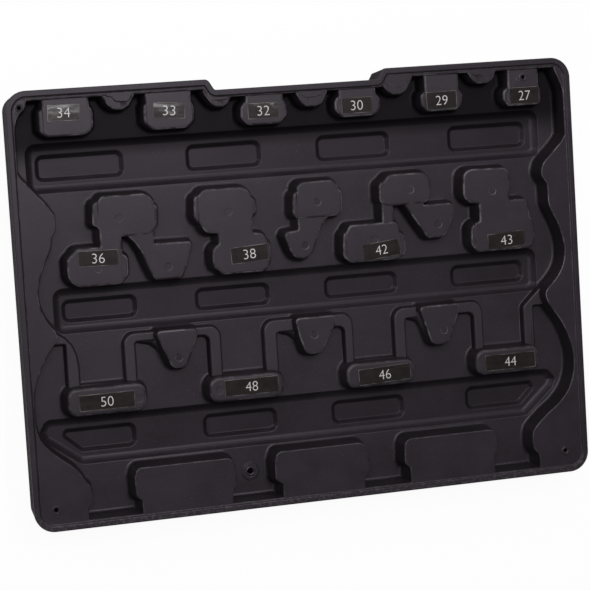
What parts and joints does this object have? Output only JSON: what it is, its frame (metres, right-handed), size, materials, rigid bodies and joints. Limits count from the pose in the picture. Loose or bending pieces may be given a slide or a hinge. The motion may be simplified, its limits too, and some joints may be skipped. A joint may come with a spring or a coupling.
{
  "type": "tool storage tray",
  "caption": "Moulded plastic storage tray with a raised rim, a notched edge, locating pads with size labels, ribs and long troughs that hold open-ended spanner heads.",
  "frame": {"origin": "middle of the flat back face, which lies on Z = 0", "axes": "+X along the tray's length, +Y towards the notched long edge, +Z out of the open front"},
  "size_m": [0.37, 0.271, 0.031],
  "materials": {
    "tray_plastic": "fine satin, slightly mottled",
    "label_film": "smooth glossy film with pale print"
  },
  "bodies": {
    "root": {"tray": "tray_plastic", "label_34": "label_film", "label_33": "label_film", "label_32": "label_film", "label_30": "label_film", "label_29": "label_film", "label_27": "label_film", "label_36": "label_film", "label_38": "label_film", "label_42": "label_film", "label_43": "label_film", "label_50": "label_film", "label_48": "label_film", "label_46": "label_film", "label_44": "label_film"}
  },
  "joints": []
}
